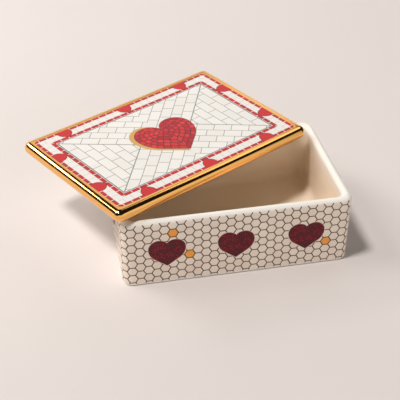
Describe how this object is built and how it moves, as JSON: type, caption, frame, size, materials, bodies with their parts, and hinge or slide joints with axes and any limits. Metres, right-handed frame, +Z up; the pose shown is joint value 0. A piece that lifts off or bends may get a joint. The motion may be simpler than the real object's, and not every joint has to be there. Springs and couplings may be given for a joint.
{
  "type": "lidded trinket box",
  "caption": "Rectangular stoneware trinket box with straight walls, a round rim and a flat lift-off lid that lies askew on it.",
  "frame": {"origin": "centre of the box's underside, on the surface that it stands on", "axes": "+Z up, +X along the box's length, +Y across it, away from the long wall that the picture shows"},
  "size_m": [0.1439, 0.1224, 0.0415],
  "materials": {
    "glazed_stoneware": "glossy white glaze over a printed mosaic of small hexagon tiles with dark joints and red hearts, bare clay underneath",
    "gilt_edged_stoneware": "glossy white glaze over a printed tile pattern with red hearts, and a bright gilt lustre on the rounded edge"
  },
  "bodies": {
    "root": {"box": "glazed_stoneware", "lid": "gilt_edged_stoneware"}
  },
  "joints": []
}
